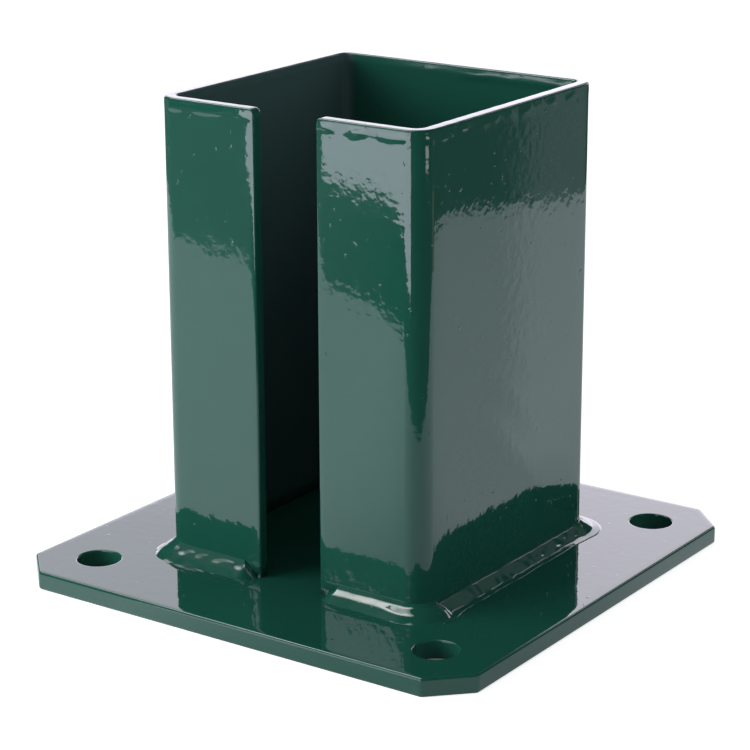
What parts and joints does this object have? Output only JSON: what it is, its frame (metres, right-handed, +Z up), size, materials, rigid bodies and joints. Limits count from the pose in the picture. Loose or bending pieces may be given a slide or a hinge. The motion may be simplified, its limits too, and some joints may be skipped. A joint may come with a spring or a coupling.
{
  "type": "timber post base",
  "caption": "Bolt-down base for a square timber post: a flat plate with cut corners and a welded open-topped socket with a slot up one wall.",
  "frame": {"origin": "middle of the base plate's underside", "axes": "+Z up out of the socket's mouth; the slotted wall faces -Y; +X to the right seen from the slot"},
  "size_m": [0.17, 0.17, 0.156],
  "materials": {
    "green_powder_coat": "gloss dark green powder coat over steel, with a fine orange peel"
  },
  "bodies": {
    "root": {"base_plate": "green_powder_coat", "post_socket": "green_powder_coat", "weld_front_left": "green_powder_coat", "weld_front_right": "green_powder_coat", "weld_right": "green_powder_coat", "weld_left": "green_powder_coat", "weld_back": "green_powder_coat"}
  },
  "joints": []
}
